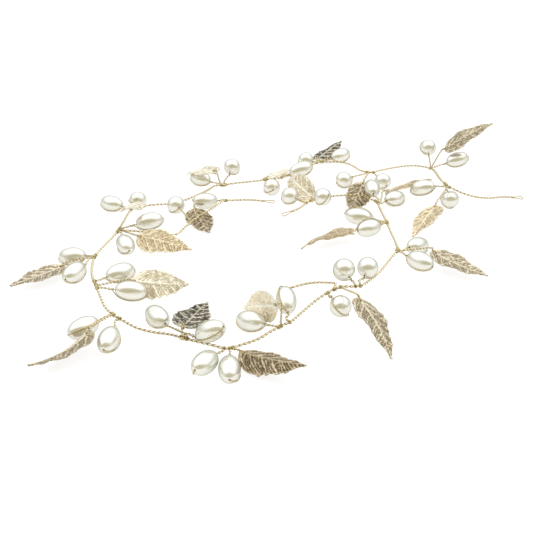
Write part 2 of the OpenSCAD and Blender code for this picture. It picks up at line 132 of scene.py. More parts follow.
# Sprig, kind, distance along the strand from the knot, centre, angle of the wire that comes back over it
PEARLS = (
    (1, Pearl.ROUND, 3.6, (75.4, 32.5, 5), -30), (1, Pearl.RICE, 1.8, (63.6, 41, 7.5), -45),
    (2, Pearl.ROUND, -1.2, (73, 88, 12), 0), (2, Pearl.RICE, -3.6, (87, 81, 8), -45),
    (3, Pearl.ROUND, -1.2, (47, 59.5, 4), -45), (3, Pearl.ROUND, 2.4, (28, 61.5, 4), -45),
    (4, Pearl.RICE, 1.6, (40, 43, 6.5), -40), (4, Pearl.RICE, -1.2, (50, 36, 4), -40),
    (5, Pearl.RICE, 1.2, (30.5, 7.5, 6.5), 110), (5, Pearl.RICE, -1.2, (34, -4.5, 6), 110),
    (6, Pearl.RICE, 1.2, (53, -19, 4), -40), (6, Pearl.RICE, -1.2, (51, -39.5, 6.5), -45),
    (7, Pearl.ROUND, 6.4, (19, -62, 13.5), -45), (7, Pearl.ROUND, 8.8, (28, -59.5, 13), -45),
    (7, Pearl.ROUND, -5.6, (17, -74.5, 4.5), 0),
    (8, Pearl.RICE, -1.2, (-15.5, -86, 4.5), -45), (8, Pearl.RICE, 3.6, (-3, -80.5, 10), 45),
    (9, Pearl.RICE, -1.2, (-30, -116.5, 5.5), -120), (9, Pearl.RICE, 0.6, (-22, -118, 4), -150),
    (10, Pearl.RICE, -1.2, (-48.5, -86.5, 6.5), -40), (10, Pearl.RICE, 1.2, (-28.7, -105.9, 11.4), -20),
    (11, Pearl.RICE, -1.2, (-74, -91, 4.5), 30), (11, Pearl.RICE, 3, (-64, -98.5, 4), -30),
    (12, Pearl.RICE, -2.4, (-66, -53.5, 8), -45), (12, Pearl.RICE, 3.6, (-60.5, -65, 6), -45),
    (13, Pearl.RICE, -1.2, (-89, -29.5, 4), -40), (13, Pearl.RICE, 1.2, (-85, -47, 5), -45),
    (14, Pearl.RICE, -1.8, (-61, 2, 6.5), -45), (14, Pearl.RICE, 2.4, (-69, -17.5, 4), -40),
    (15, Pearl.RICE, 1.2, (-81.5, 29.5, 4), -40), (15, Pearl.ROUND, -1.2, (-70, 34, 4), 180),
    (16, Pearl.ROUND, -3, (-51.7, 27.5, 4.2), -45), (16, Pearl.RICE, 28, (-38.4, 32, 4.4), 180),
    (17, Pearl.RICE, 1.2, (-42.5, 62.5, 4.5), -45), (17, Pearl.ROUND, -1.2, (-27, 64, 10), -45),
    (18, Pearl.ROUND, 0, (16, 30.5, 7), -45), (18, Pearl.ROUND, 3.6, (1, 39.5, 4), -45),
    (19, Pearl.ROUND, 1.2, (10.5, 92, 4), -45), (19, Pearl.RICE, -2.4, (29, 98, 4.5), -40),
    (20, Pearl.ROUND, 0, (-7.5, 51.5, 4), -30), (20, Pearl.RICE, -8, (7, 68.5, 7), -40),
)

# Painted light tone, distance along the strand, base, heading, tilt, roll, bend, fall of the sides, points on
# the stem
LEAVES = (
    (LitTone.TAN, -1.2, (67, 21.5, 6), -120, -11, 16, -6, 0, ()),
    (LitTone.GOLD, -2.4, (81, 84, 12), -15, 35, 24, -22, 0, ()),
    (LitTone.BRONZE, 1.2, (37, 53, 6.2), -108, -9, -9, 30, 10, ()),
    (LitTone.TAN, 0.2, (46.5, 41.5, 5), 30, 3, -38, -24, 10, ()),
    (LitTone.TAN, 0, (27.4, -4.7, 4), -148, -3, 42, -38, 0, ((33, 1.5, 7),)),
    (LitTone.GOLD, 0, (57.5, -28, 5.5), -47, -3, 0, 15, -6, ()),
    (LitTone.GOLD, 0, (22, -84, 12.4), -66, -25, -23, -30, 0, ()),
    (LitTone.CREAM, 0, (-6.3, -91.3, 13.8), 120, -27, 88, -6, 10, ()),
    (LitTone.BRONZE, 1.8, (-19, -108, 4.6), -38, 10, 17, 10, 28, ()),
    (LitTone.DARK, 0, (-38, -103.5, 11.5), 76, -9, 6, -2, 0, ((-38, -106.5, 9),)),
    (LitTone.GOLD, 0, (-70.5, -96.3, 6.1), -128, -2, 28, 30, 11, ()),
    (LitTone.PALE, 1.2, (-61.5, -56.5, 6), -31, 11, 47, 23, 11, ()),
    (LitTone.GOLD, 0, (-91.5, -35.5, 2.4), -126, 4, 3, 5, -5, ()),
    (LitTone.TAN, 1.2, (-64.5, -12, 5.2), -30, 0, 29, -15, 6, ()),
    (LitTone.PALE, 2.4, (-68.5, 19.5, 8.8), -94, 15, 9, 10, 16, ()),
    (LitTone.BRONZE, 3, (-43.1, 26.8, 2.6), -73, -2, 1, 15, 5, ()),
    (LitTone.PALE, 0, (-34, 44, 14.1), 126, -18, -7, -28, 0, ((-32, 42, 10),)),
    (LitTone.PALE, -2.4, (12.2, 40, 2.3), 113, 4, -48, -70, -11, ()),
    (LitTone.DARK, -1.2, (16.5, 96.5, 2.8), 58, 6, -3, 0, 14, ()),
    (LitTone.PALE, 1.2, (-10.3, 67, 2.3), 47, -2, -20, -32, 7, ()),
)


def unit(v: Array) -> Array:
    """Vectors scaled to length one, along the last axis."""
    return v / np.linalg.norm(v, axis=-1, keepdims=True)


def square_to(v: Array, axis: Array) -> Array:
    """The part of v that is square to a unit axis, scaled to length one."""
    return unit(v - (v * axis).sum(-1, keepdims=True) * axis)


def lengths_along(path: Array) -> Array:
    """Distance along a path at each of its points."""
    return np.concatenate([[0.0], np.cumsum(np.linalg.norm(np.diff(path, axis=0), axis=1))])


def evenly(path: Array, step: float) -> Array:
    """A path's points set again at equal distances.

    Args:
        path: points of the path, one a row.
        step: distance between two new points.

    Returns:
        The new points, with the first and last ones kept.
    """
    run = lengths_along(path)
    at = np.linspace(0.0, run[-1], max(int(np.ceil(run[-1] / step)), 2) + 1)
    return np.stack([np.interp(at, run, path[:, k]) for k in range(3)], axis=1)


def smooth_through(points: Array, step: float) -> Array:
    """A smooth path through points.

    Between two points it is a cubic, whose slope at each of them is half the step from the point before it to
    the point after it.

    Args:
        points: the points that the path passes, one a row.
        step: distance between two points of the result.

    Returns:
        Points at equal distances along the path.
    """
    p = np.concatenate([2 * points[:1] - points[1:2], points, 2 * points[-1:] - points[-2:-1]])
    a, b, c, d = p[:-3, None], p[1:-2, None], p[2:-1, None], p[3:, None]
    t = np.linspace(0, 1, SPAN_STEPS, endpoint=False)[None, :, None]
    curve = 0.5 * (2 * b + (c - a) * t + (2 * a - 5 * b + 4 * c - d) * t**2 + (3 * b - a - 3 * c + d) * t**3)
    return evenly(np.concatenate([curve.reshape(-1, 3), points[-1:]]), step)


def laid_out(origin: Array, rows: tuple | list, *axes: Array) -> Array:
    """Points given by their distances from an origin along some axes.

    Args:
        origin: the point that the distances start from.
        rows: a row of distances for each point.
        axes: the vector that each distance is along.

    Returns:
        The points, one a row.
    """
    points = np.tile(origin, (len(rows), 1))
    for distances, axis in zip(np.array(rows, float).T, axes):
        points = points + distances[:, None] * axis
    return points


def rise(value: Array, reach: float) -> Array:
    """A value's share of a reach, kept from 0 to 1."""
    return np.clip(value / reach, 0, 1)


def crest(phase: Array, power: float) -> Array:
    """Ridges where a phase is whole: a half plus half its cosine, to a power that sharpens them."""
    return (0.5 + 0.5 * np.cos(2 * np.pi * phase)) ** power


def mottle(u: Array, v: Array, seed: int) -> Array:
    """Smooth unevenness over a plane.

    Each whole-number place has a value from -1 to 1, and a point between four such places takes their blend,
    with shares that rise as three times the square less twice the cube of the distance.

    Args:
        u: first coordinate.
        v: second coordinate.
        seed: start of the values.

    Returns:
        The value at each point.
    """
    size = MOTTLE_CELLS
    values = np.random.default_rng(seed).uniform(-1, 1, (size, size))
    i, j = np.floor(u).astype(int), np.floor(v).astype(int)
    a, b = u - i, v - j
    a, b = a * a * (3 - 2 * a), b * b * (3 - 2 * b)
    near = values[i % size, j % size] * (1 - a) + values[(i + 1) % size, j % size] * a
    far = values[i % size, (j + 1) % size] * (1 - a) + values[(i + 1) % size, (j + 1) % size] * a
    return near * (1 - b) + far * b


def opaque(color: tuple) -> tuple:
    """A colour with full cover."""
    return (*color, 1.0)


@dataclass
class Skin:
    """A mesh in the making: points in millimetres, faces, and a flat place and an amount of painted shade for
    each point.
    """

    points: list[Array] = field(default_factory=list)
    quads: list[Array] = field(default_factory=list)
    corners: list[Array] = field(default_factory=list)
    places: list[Array] = field(default_factory=list)
    painted_shades: list[Array] = field(default_factory=list)
    count: int = 0

    def add(self, points: Array, quads: Array, corners: Array, places: Array, painted_shade: Array) -> None:
        """Adds one closed surface.

        Args:
            points: its points, one a row.
            quads: its four-sided faces, as rows of point numbers.
            corners: its three-sided faces, as rows of point numbers.
            places: flat place of each point, for patterns that follow the surface.
            painted_shade: how much painted shade darkens the finish at each point, from 0 on a ridge to 1 in
                a hollow.
        """
        self.points.append(points)
        self.quads.append(quads.reshape(-1, 4) + self.count)
        self.corners.append(corners.reshape(-1, 3) + self.count)
        self.places.append(places)
        self.painted_shades.append(painted_shade)
        self.count += len(points)

    def piece(self, name: str, material: Material, crease: float = 180.0) -> Thing:
        """Makes the scene's object from the surfaces added so far.

        Args:
            name: name of the object.
            material: its material.
            crease: angle in degrees past which an edge is shaded sharp.

        Returns:
            The new object, in metres.
        """
        points = np.concatenate(self.points) + SHIFT
        quads, corners = np.concatenate(self.quads), np.concatenate(self.corners)
        loops = np.concatenate([quads.ravel(), corners.ravel()]).astype(np.int32)
        sizes = np.concatenate([np.full(len(quads), 4), np.full(len(corners), 3)])
        mesh = bpy.data.meshes.new(name)
        mesh.vertices.add(len(points))
        mesh.vertices.foreach_set("co", (points * MM).ravel())
        mesh.loops.add(len(loops))
        mesh.loops.foreach_set("vertex_index", loops)
        mesh.polygons.add(len(sizes))
        mesh.polygons.foreach_set("loop_start", np.concatenate([[0], np.cumsum(sizes)[:-1]]).astype(np.int32))
        mesh.update(calc_edges=True)
        uv = mesh.uv_layers.new(name="surface")
        uv.data.foreach_set("uv", np.concatenate(self.places)[loops].ravel())
        # The painted shade goes into the mesh as a point attribute that the materials read
        painted_shade_layer = mesh.attributes.new("painted_shade", "FLOAT", "POINT")
        painted_shade_layer.data.foreach_set("value", np.concatenate(self.painted_shades))
        mesh.validate()
        mesh.shade_smooth()
        if crease < 180.0:
            mesh.set_sharp_from_angle(angle=np.radians(crease))
        mesh.materials.append(material)
        thing = bpy.data.objects.new(name, mesh)
        bpy.context.scene.collection.objects.link(thing)
        return thing

    def tube(
        self, path: Array, radius: float | Array, sides: int, reference: Array, painted_shade: float | Array = 0.4
    ) -> None:
        """Adds a round wire along a path, closed at both ends.

        A point is the path's point plus the radius times (cosine of the angle along the side vector plus its
        sine along the vector square to it), and the side vector is the reference made square to the path.

        Args:
            path: points of the wire's middle line.
            radius: the wire's radius, or one for each point.
            sides: number of points round the wire.
            reference: a vector that is nowhere along the path, or one for each point.
            painted_shade: how much painted shade darkens the wire's finish, or one such number for each
                point.
        """
        n = len(path)
        along = unit(np.gradient(path, axis=0))
        side = square_to(np.broadcast_to(reference, path.shape), along)
        over = np.cross(along, side)
        angle = np.linspace(0, 2 * np.pi, sides, endpoint=False)[None, :, None]
        r = np.broadcast_to(radius, n)[:, None, None]
        ring = path[:, None] + r * (np.cos(angle) * side[:, None] + np.sin(angle) * over[:, None])
        points = np.concatenate([ring.reshape(-1, 3), path[:1], path[-1:]])
        i, k = np.meshgrid(np.arange(n - 1), np.arange(sides), indexing="ij")
        here, after = i * sides + k, i * sides + (k + 1) % sides
        quads = np.stack([here, after, after + sides, here + sides], axis=-1)
        first, last = np.full(sides, n * sides), np.full(sides, n * sides + 1)
        start = np.stack([first, after[0], here[0]], axis=-1)
        end = np.stack([last, here[-1] + sides, after[-1] + sides], axis=-1)
        run = lengths_along(path)
        places = np.stack([np.repeat(run, sides), np.tile(np.arange(sides) / sides, n)], axis=1)
        places = np.concatenate([places, [[0.0, 0.0], [run[-1], 0.0]]])
        shade = np.broadcast_to(painted_shade, n)
        shade = np.concatenate([np.repeat(shade, sides), shade[:1], shade[-1:]])
        self.add(points, quads, np.concatenate([start, end]), places, shade)


class Space(Enum):
    """The coordinates that a pattern follows: the frame's in metres, or the surface's own in millimetres."""

    FRAME = "Object"
    SURFACE = "UV"


@dataclass(frozen=True)
class Grain:
    """A noise over a surface: its coordinates, how often it changes in a unit of them, and its detail."""

    space: Space
    scale: float
    detail: float


@dataclass(frozen=True)
class Relief:
    """A fine relief in a finish: how strong it is, and its height in metres."""

    strength: float
    height: float


class Nodes:
    """A material's node tree, with short ways to add and join its nodes."""

    def __init__(self, name: str) -> None:
        """Starts an empty material with a shader.

        Args:
            name: the material's name.
        """
        self.material = bpy.data.materials.new(name)
        self.material.use_nodes = True
        self.tree = self.material.node_tree
        self.shader = self.tree.nodes["Principled BSDF"]

    @cached_property
    def coords(self) -> bpy.types.Node:
        """The node that gives each point's coordinates."""
        return self.tree.nodes.new("ShaderNodeTexCoord")

    def add(self, kind: str, **values: object) -> bpy.types.Node:
        """Adds a node.

        Args:
            kind: the node's type name.
            values: its properties, and its input values under their socket names with _ for a space.

        Returns:
            The node.
        """
        node = self.tree.nodes.new(kind)
        for key, value in values.items():
            if key.replace("_", " ") in node.inputs:
                node.inputs[key.replace("_", " ")].default_value = value
            else:
                setattr(node, key, value)
        return node

    def join(self, out: Socket, into: Socket) -> None:
        """Joins an output to an input."""
        self.tree.links.new(out, into)

    def shade(self, **values: float | tuple | Socket) -> None:
        """Sets the shader.

        Args:
            values: a number, a colour or a socket for each of its inputs, under its name with _ for a space.
        """
        for key, value in values.items():
            into = self.shader.inputs[key.replace("_", " ")]
            if isinstance(value, Socket):
                self.join(value, into)
            else:
                into.default_value = opaque(value) if isinstance(value, tuple) else value

    def noise(self, grain: Grain) -> Socket:
        """Adds a noise.

        Args:
            grain: the noise's coordinates, scale and detail.

        Returns:
            The socket of its value, from 0 to 1.
        """
        node = self.add("ShaderNodeTexNoise", Scale=grain.scale, Detail=grain.detail)
        self.join(self.coords.outputs[grain.space.value], node.inputs["Vector"])
        return node.outputs["Fac"]

    def painted_shade_with(self, noise: Socket, share: float) -> Socket:
        """Adds a share of a noise to the piece's own painted shade.

        Args:
            noise: the noise's socket.
            share: how much of it is added.

        Returns:
            The sum's socket.
        """
        painted_shade = self.add("ShaderNodeAttribute", attribute_name="painted_shade")
        total = self.add("ShaderNodeMath", operation="MULTIPLY_ADD")
        self.join(noise, total.inputs[0])
        total.inputs[1].default_value = share
        self.join(painted_shade.outputs["Fac"], total.inputs[2])
        return total.outputs["Value"]

    def ramp(self, value: Socket, places: tuple, colors: tuple) -> Socket:
        """Turns a value into a colour.

        Args:
            value: the value's socket.
            places: the values of the colours, rising.
            colors: the colours, which blend in between.

        Returns:
            The colour's socket.
        """
        node = self.add("ShaderNodeValToRGB")
        stops = node.color_ramp.elements
        stops[0].position, stops[1].position = places[0], places[-1]
        stops[0].color, stops[1].color = opaque(colors[0]), opaque(colors[-1])
        for place, color in zip(places[1:-1], colors[1:-1]):
            stops.new(place).color = opaque(color)
        self.join(value, node.inputs["Fac"])
        return node.outputs["Color"]

    def spread(self, value: Socket, low: float, high: float) -> Socket:
        """Spreads a value evenly between two ends.

        Args:
            value: the value's socket, from 0 to 1.
            low: the result at 0.
            high: the result at 1.

        Returns:
            The result's socket.
        """
        node = self.add("ShaderNodeMapRange", To_Min=low, To_Max=high)
        self.join(value, node.inputs["Value"])
        return node.outputs["Result"]

    def bump(self, heights: Socket, relief: Relief, under: Socket | None = None) -> Socket:
        """Raises a surface by a pattern.

        Args:
            heights: the pattern's socket, from 0 to 1.
            relief: how strong and high it is.
            under: direction of the surface that it is on, where that has a relief of its own.

        Returns:
            The socket of the surface's direction.
        """
        node = self.add("ShaderNodeBump", Strength=relief.strength, Distance=relief.height)
        self.join(heights, node.inputs["Height"])
        if under is not None:
            self.join(under, node.inputs["Normal"])
        return node.outputs["Normal"]


@dataclass(frozen=True)
class WireFinish:
    """Bright drawn wire: pale gold, a little worn in places, with painted shade where the twisted wires lie
    side by side and a painted highlight where one lies over the other.
    """

    name: str = "gold_wire"
    # Colours from the painted highlight, through the wire's own, to the painted shade between the wires
    light: tuple = (0.86, 0.74, 0.45)
    middle: tuple = (0.62, 0.50, 0.26)
    dark: tuple = (0.28, 0.21, 0.09)
    stops: tuple = (0.16, 0.5, 0.8)
    metal: float = 1.0
    rough: tuple = (0.18, 0.32)
    wear: Grain = Grain(Space.FRAME, 700.0, 3.0)
    wear_share: float = 0.33
    grain: Grain = Grain(Space.FRAME, 5200.0, 2.0)
    relief: Relief = Relief(0.12, 0.00003)

    def material(self) -> Material:
        """Makes the material.

        The colour goes with the wire's painted shade plus a share of the wear, which changes about every
        millimetre, and the roughness with the wear alone. The painted shade darkens the wire where twisted
        wires lie side by side and leaves a painted highlight where one lies over the other. A fine grain
        covers the wire.

        Returns:
            The material.
        """
        m = Nodes(self.name)
        wear = m.noise(self.wear)
        painted_shade = m.painted_shade_with(wear, self.wear_share)
        m.shade(
            Base_Color=m.ramp(painted_shade, self.stops, (self.light, self.middle, self.dark)),
            Roughness=m.spread(wear, *self.rough),
            Metallic=self.metal,
            Normal=m.bump(m.noise(self.grain), self.relief),
        )
        return m.material


@dataclass(frozen=True)
class LeafFinish:
    """Champagne gold sheet, pressed into a relief of veins and a fine net, with painted shade in the hollows
    and painted light on the raised veins.
    """

    name: str
    ridge: tuple
    flat: tuple
    hollow: tuple
    metal: float
    stops: tuple = (0.3, 0.72, 1.0)
    rough: tuple = (0.22, 0.4)
    stain: Grain = Grain(Space.SURFACE, 1.9, 4.0)
    stain_share: float = 0.8
    net_scale: float = 1.5
    net_unevenness: float = 0.8
    net_line: float = 0.22
    net_relief: Relief = Relief(0.8, 0.00011)
    grain: Grain = Grain(Space.SURFACE, 7.0, 3.0)
    grain_relief: Relief = Relief(0.35, 0.00005)

    def net(self, m: Nodes) -> Socket:
        """Adds the net: uneven cells in the leaf's plane, raised where two of them meet.

        Args:
            m: the material's nodes.

        Returns:
            The socket of the surface's direction.
        """
        cells = m.add(
            "ShaderNodeTexVoronoi", feature="DISTANCE_TO_EDGE", Scale=self.net_scale,
            Randomness=self.net_unevenness,
        )
        m.join(m.coords.outputs[Space.SURFACE.value], cells.inputs["Vector"])
        lines = m.ramp(cells.outputs["Distance"], (0.0, self.net_line), (WHITE, BLACK))
        return m.bump(lines, self.net_relief)

    def material(self) -> Material:
        """Makes the material.

        The colour goes with the painted shade of the pressed relief, dark in its hollows and lighter on its
        raised veins, plus a share of a stain, and the roughness with the stain alone. A fine grain lies on
        the net.

        Returns:
            The material.
        """
        m = Nodes(self.name)
        stain = m.noise(self.stain)
        painted_shade = m.painted_shade_with(stain, self.stain_share)
        m.shade(
            Base_Color=m.ramp(painted_shade, self.stops, (self.ridge, self.flat, self.hollow)),
            Roughness=m.spread(stain, *self.rough),
            Metallic=self.metal,
            Normal=m.bump(m.noise(self.grain), self.grain_relief, self.net(m)),
        )
        return m.material


# Name of each tone's finish, colours of its ridges, flat sheet and hollows, and how metallic it is
# Painted light and shade: each tone is a lit or shaded copy of the one leaf finish, for how light falls on a
# leaf
LEAF_FINISHES = {
    LitTone.CREAM: LeafFinish("cream_gold_leaf", (1.0, 1.0, 0.93), (1.0, 0.99, 0.86), (0.88, 0.74, 0.50), 1.0),
    LitTone.PALE: LeafFinish("pale_gold_leaf", (1.0, 0.94, 0.80), (0.93, 0.86, 0.69), (0.66, 0.56, 0.39), 0.6),
    LitTone.TAN: LeafFinish("tan_gold_leaf", (0.92, 0.80, 0.58), (0.80, 0.67, 0.45), (0.48, 0.37, 0.21), 0.75),
    LitTone.GOLD: LeafFinish("gold_leaf", (0.80, 0.71, 0.54), (0.62, 0.53, 0.37), (0.30, 0.24, 0.15), 0.9),
    LitTone.BRONZE: LeafFinish("bronze_leaf", (0.78, 0.66, 0.46), (0.47, 0.38, 0.25), (0.19, 0.145, 0.085), 1.0),
    LitTone.DARK: LeafFinish("dark_bronze_leaf", (0.84, 0.76, 0.6), (0.34, 0.3, 0.22), (0.06, 0.05, 0.035), 1.0),
}


@dataclass(frozen=True)
class PearlFinish:
    """Imitation pearl: a cream body under a soft pearly coat that darkens towards the rim."""

    name: str = "pearl_coat"
    body: tuple = (0.95, 0.93, 0.885)
    cool: tuple = (0.92, 0.91, 0.88)
    stops: tuple = (0.35, 0.65)
    rim: tuple = (0.48, 0.47, 0.42)
    metal: float = 0.6
    rough: tuple = (0.2, 0.27)
    coat: float = 1.0
    coat_color: tuple = (0.94, 0.94, 0.91)
    coat_rough: float = 0.2
    coat_ior: float = 1.03
    clouds: Grain = Grain(Space.FRAME, 160.0, 2.0)
    grain: Grain = Grain(Space.FRAME, 2600.0, 2.0)
    relief: Relief = Relief(0.05, 0.00002)

    def material(self) -> Material:
        """Makes the material: part metal, so that it mirrors light and dark, under a thin pearly coat.

        Returns:
            The material.
        """
        m = Nodes(self.name)
        clouds = m.noise(self.clouds)
        m.shade(
            Base_Color=m.ramp(clouds, self.stops, (self.cool, self.body)),
            Roughness=m.spread(clouds, *self.rough),
            Metallic=self.metal,
            Specular_Tint=self.rim,
            Coat_Weight=self.coat,
            Coat_Roughness=self.coat_rough,
            Coat_IOR=self.coat_ior,
            Coat_Tint=self.coat_color,
            Normal=m.bump(m.noise(self.grain), self.relief),
        )
        return m.material


@dataclass(frozen=True)
class TableFinish:
    """Plain white table."""

    name: str = "white_table"
    color: tuple = (0.26, 0.26, 0.26)
    rough: float = 0.9
    gloss: float = 0.1
    glow: float = 0.84

    def material(self) -> Material:
        """Makes the material: matt white with an even glow of its own, as on a lit white table.

        Returns:
            The material.
        """
        m = Nodes(self.name)
        m.shade(
            Base_Color=self.color,
            Roughness=self.rough,
            Specular_IOR_Level=self.gloss,
            Emission_Color=WHITE,
            Emission_Strength=self.glow,
        )
        return m.material


@dataclass
class Gauge:
    """Sizes of the wires in millimetres, and how finely they are meshed."""

    wire_r: float = 0.22
    stem_wire_r: float = 0.19
    strand_lay: float = 3.7
    stem_lay: float = 2.9
    looseness: float = 1.55
    # Coils: advance a turn in wire radii, and turns of a strand's and of a stem's
    coil_pitch: float = 2.1
    fork_turns: float = 2.5
    stem_turns: float = 2.25
    # Distances from the strand's middle at which a strand and a stem that leave it start
    fork_start: float = 0.6
    stem_start: tuple = ((0.55,), (2.0,))
    # Steps along a wire and its points, for the mesh
    step: float = 0.3
    loop_step: float = 0.2
    strand_sides: int = 7
    stem_sides: int = 6
    coil_points: int = 14


@dataclass
class TwistedStrand:
    """Two wires twisted about a route, with narrow eyes at its ends and a coil where it forks off."""

    name: str
    route: Array
    gauge: Gauge
    first_eye: bool = False
    eye_length: float = 5.0
    eye_half: float = 0.85
    eye_rise: float = 0.5
    eye_points: int = 7
    # Distances along and beside the strand's end of the eye's first two points and its last two
    eye_start: tuple = ((-1.2, 0.22), (0.6, 0.42))
    eye_back: tuple = ((0.5, -0.42), (-1.3, -0.22))
    # Swing and length of each sway
    sways: tuple = ((0.5, 9.0), (0.35, 4.1))
    # Painted shade on the twisted wires: its most, and the level and fall that set it from each wire's turn
    darkest_painted_shade: float = 0.7
    painted_shade_level: float = 1.3
    painted_shade_fall: float = 1.5

    def __post_init__(self) -> None:
        """Smooths the route once."""
        self.path = smooth_through(self.route.astype(float), self.gauge.step)
        self.along = unit(np.gradient(self.path, axis=0))

    def twist(self, skin: Skin, path: Array, wire_r: float, lay: float, sides: int, seed: int) -> None:
        """Adds the two wires of a twisted pair.

        A wire's middle is the path's point plus its own radius, times the looseness, along a unit vector that
        turns once a lay about the path. To its angle come sways, each a swing in radians times the sine of
        the distance over a length. The other wire is half a turn on. Painted shade on the wires falls with
        the size of the angle's cosine, so the pair is darkest where that vector is square to the side vector,
        where the wires lie side by side, and palest, as a painted highlight, where one lies over the other.

        Args:
            skin: the mesh that takes them.
            path: the pair's middle line.
            wire_r: radius of one wire.
            lay: length of one whole turn.
            sides: points round a wire.
            seed: start of the sways.
        """
        rng = np.random.default_rng(seed)
        run = lengths_along(path)
        along = unit(np.gradient(path, axis=0))
        level = np.abs(along).mean(axis=0)
        reference = np.eye(3)[np.argmin(level)]
        side = square_to(np.broadcast_to(reference, path.shape), along)
        over = np.cross(along, side)
        phase = rng.uniform(0, 2 * np.pi, 3)
        sways = zip(self.sways, phase)
        uneven = sum(swing * np.sin(run / length + start) for (swing, length), start in sways)
        for half in (0, np.pi):
            angle = (2 * np.pi * run / lay + uneven + half + phase[2])[:, None]
            out = np.cos(angle) * side + np.sin(angle) * over
            # Painted shade: darkest where the two wires lie side by side, a painted highlight where one lies
            # over the other
            dark = np.clip(self.painted_shade_level - self.painted_shade_fall * np.abs(np.cos(angle[:, 0])), 0, 1)
            skin.tube(path + self.gauge.looseness * wire_r * out, wire_r, sides, out, self.darkest_painted_shade * dark)

    def eye(self, skin: Skin, end: Array, before: Array) -> None:
        """Adds the narrow eye at an end: out along one side, round in half a circle, and back beside itself.

        The eye's far side is a little higher than its near side.

        Args:
            skin: the mesh that takes it.
            end: the route's last point.
            before: the point before it, which gives the direction.
        """
        t = unit(end - before)
        s = unit(np.cross(UP, t))
        s = unit(s + self.eye_rise * np.sign(s[1]) * UP)
        far = self.eye_length - self.eye_half - self.gauge.wire_r
        turn = np.radians(np.linspace(90, -90, self.eye_points))[:, None]
        round_end = end + far * t + self.eye_half * (np.cos(turn) * t + np.sin(turn) * s)
        start, back = laid_out(end, self.eye_start, t, s), laid_out(end, self.eye_back, t, s)
        path = smooth_through(np.concatenate([start, round_end, back]), self.gauge.loop_step)
        skin.tube(path, self.gauge.wire_r, self.gauge.stem_sides, UP)

    def coil(
        self, skin: Skin, at: Array, t: Array, leave: Array, core: float, wire_r: float, turns: float
    ) -> None:
        """Adds a close coil round a strand, whose last turn ends where a branch leaves.

        A point is the place plus a slow advance along the strand plus the coil's radius times (cosine of the
        angle along the leaving direction plus its sine along the vector square to it).

        Args:
            skin: the mesh that takes it.
            at: middle of the coil, on the strand.
            t: direction of the strand there.
            leave: direction in which the branch leaves, square to t.
            core: radius of what is wound.
            wire_r: radius of the coil's wire.
            turns: number of turns.
        """
        angle = np.linspace(-turns * 2 * np.pi, 0, int(turns * self.gauge.coil_points) + 1)[:, None]
        across = np.cross(t, leave)
        advance = self.gauge.coil_pitch * wire_r * (angle / (2 * np.pi) + turns / 2)
        path = at + advance * t + (core + wire_r) * (np.cos(angle) * leave + np.sin(angle) * across)
        skin.tube(path, wire_r, self.gauge.stem_sides, t)

    def stem(self, skin: Skin, at: Array, t: Array, leave: Array, onward: Array, seed: int) -> None:
        """Adds a stem's coil round this strand, and its twisted pair of wires.

        Args:
            skin: the mesh that takes them.
            at: where the stem is wound on.
            t: this strand's direction there.
            leave: direction in which the stem leaves.
            onward: the points that it passes after that, one a row.
            seed: start of its sways.
        """
        gauge = self.gauge
        self.coil(skin, at, t, leave, 2 * gauge.wire_r, gauge.stem_wire_r, gauge.stem_turns)
        path = smooth_through(np.concatenate([laid_out(at, gauge.stem_start, leave), onward]), gauge.step)
        self.twist(skin, path, gauge.stem_wire_r, gauge.stem_lay, gauge.stem_sides, seed)

    def place(self, at: Array, slot: float) -> tuple[Array, Array]:
        """Place on the smooth path, a distance along it from the point nearest to a knot.

        Args:
            at: the knot.
            slot: distance along the path.

        Returns:
            The point and the path's direction there.
        """
        near = int(np.argmin(np.linalg.norm(self.path - at, axis=1)))
        i = int(np.clip(near + round(slot / self.gauge.step), 0, len(self.path) - 1))
        return self.path[i], self.along[i]

    def build(self, material: Material, leaves_at: tuple[Array, Array] | None = None) -> Thing:
        """Builds the strand.

        Args:
            material: the wire's material.
            leaves_at: point and direction of the strand that it winds off, if any.

        Returns:
            The finished object.
        """
        skin = Skin()
        gauge, path = self.gauge, self.path
        if leaves_at is not None:
            at, t = leaves_at
            leave = square_to(self.route[0] - at, t)
            self.coil(skin, at, t, leave, 2 * gauge.wire_r, gauge.wire_r, gauge.fork_turns)
            whole = np.concatenate([[at + gauge.fork_start * leave], self.route])
            path = smooth_through(whole.astype(float), gauge.step)
        self.twist(skin, path, gauge.wire_r, gauge.strand_lay, gauge.strand_sides, len(path))
        if self.first_eye:
            self.eye(skin, self.route[0], self.route[1])
        self.eye(skin, self.route[-1], self.route[-2])
        return skin.piece(f"twisted_{self.name}", material)


